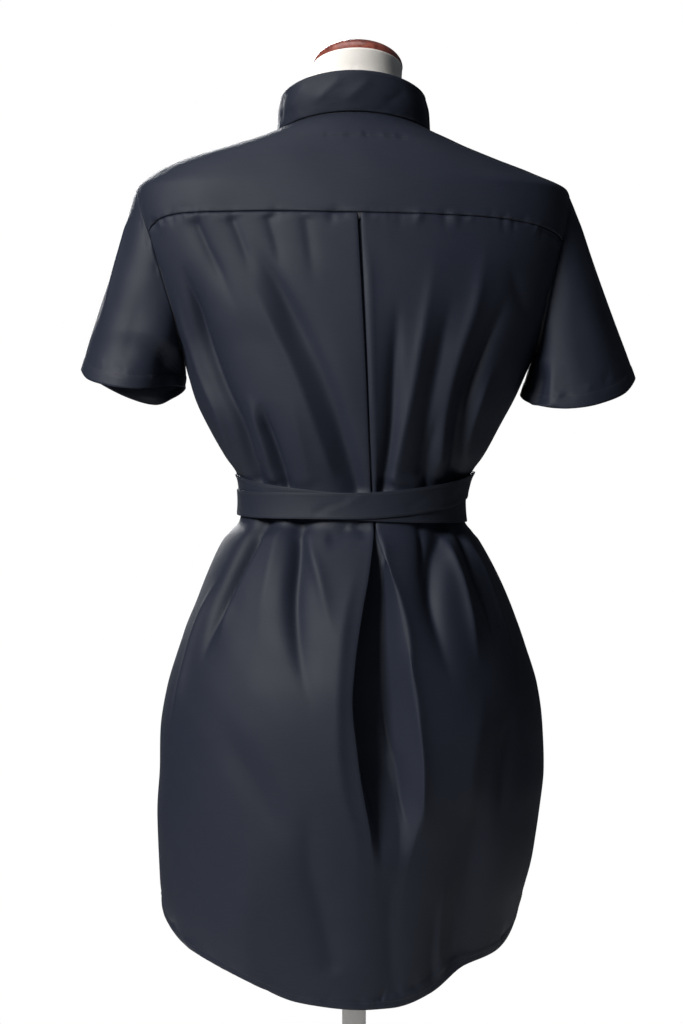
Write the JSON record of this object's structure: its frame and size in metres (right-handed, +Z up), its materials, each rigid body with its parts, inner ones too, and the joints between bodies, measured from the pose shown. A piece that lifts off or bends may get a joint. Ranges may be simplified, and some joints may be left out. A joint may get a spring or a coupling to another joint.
{
  "type": "belted short-sleeved work tunic on a limbless dress form with stand",
  "caption": "Long short-sleeved tunic with stand collar, back yoke, centre-back pleat and a wound belt, worn by a limbless dress form on a round foot.",
  "frame": {"origin": "middle of the stand foot's underside, on the floor", "axes": "+Z up, the garment's front faces -Y and its back +Y, so the wearer's left is +X"},
  "size_m": [0.5796, 0.34, 1.5215],
  "materials": {
    "cloth": "black smooth close-woven cloth with a soft sheen",
    "belt_cloth": "black smooth close-woven cloth, doubled and stitched along its edges",
    "button_plastic": "polished black",
    "form_cover": "cream plain-woven cover, stretched smooth",
    "cap_wood": "reddish stained and varnished",
    "stand_paint": "off-white powder coat, satin"
  },
  "bodies": {
    "root": {"back_panel": "cloth", "back_yoke": "cloth", "front_left": "cloth", "front_right": "cloth", "stand_collar": "cloth", "sleeve_left": "cloth", "sleeve_right": "cloth", "belt_inner_turn": "belt_cloth", "belt_outer_turn": "belt_cloth", "belt_knot": "belt_cloth", "belt_end_left": "belt_cloth", "belt_end_right": "belt_cloth", "button_1": "button_plastic", "button_2": "button_plastic", "button_3": "button_plastic", "button_4": "button_plastic", "button_5": "button_plastic", "button_6": "button_plastic", "button_7": "button_plastic", "form_torso": "form_cover", "form_neck_cap": "cap_wood", "form_socket": "stand_paint", "form_pole": "stand_paint", "form_foot": "stand_paint"}
  },
  "joints": []
}
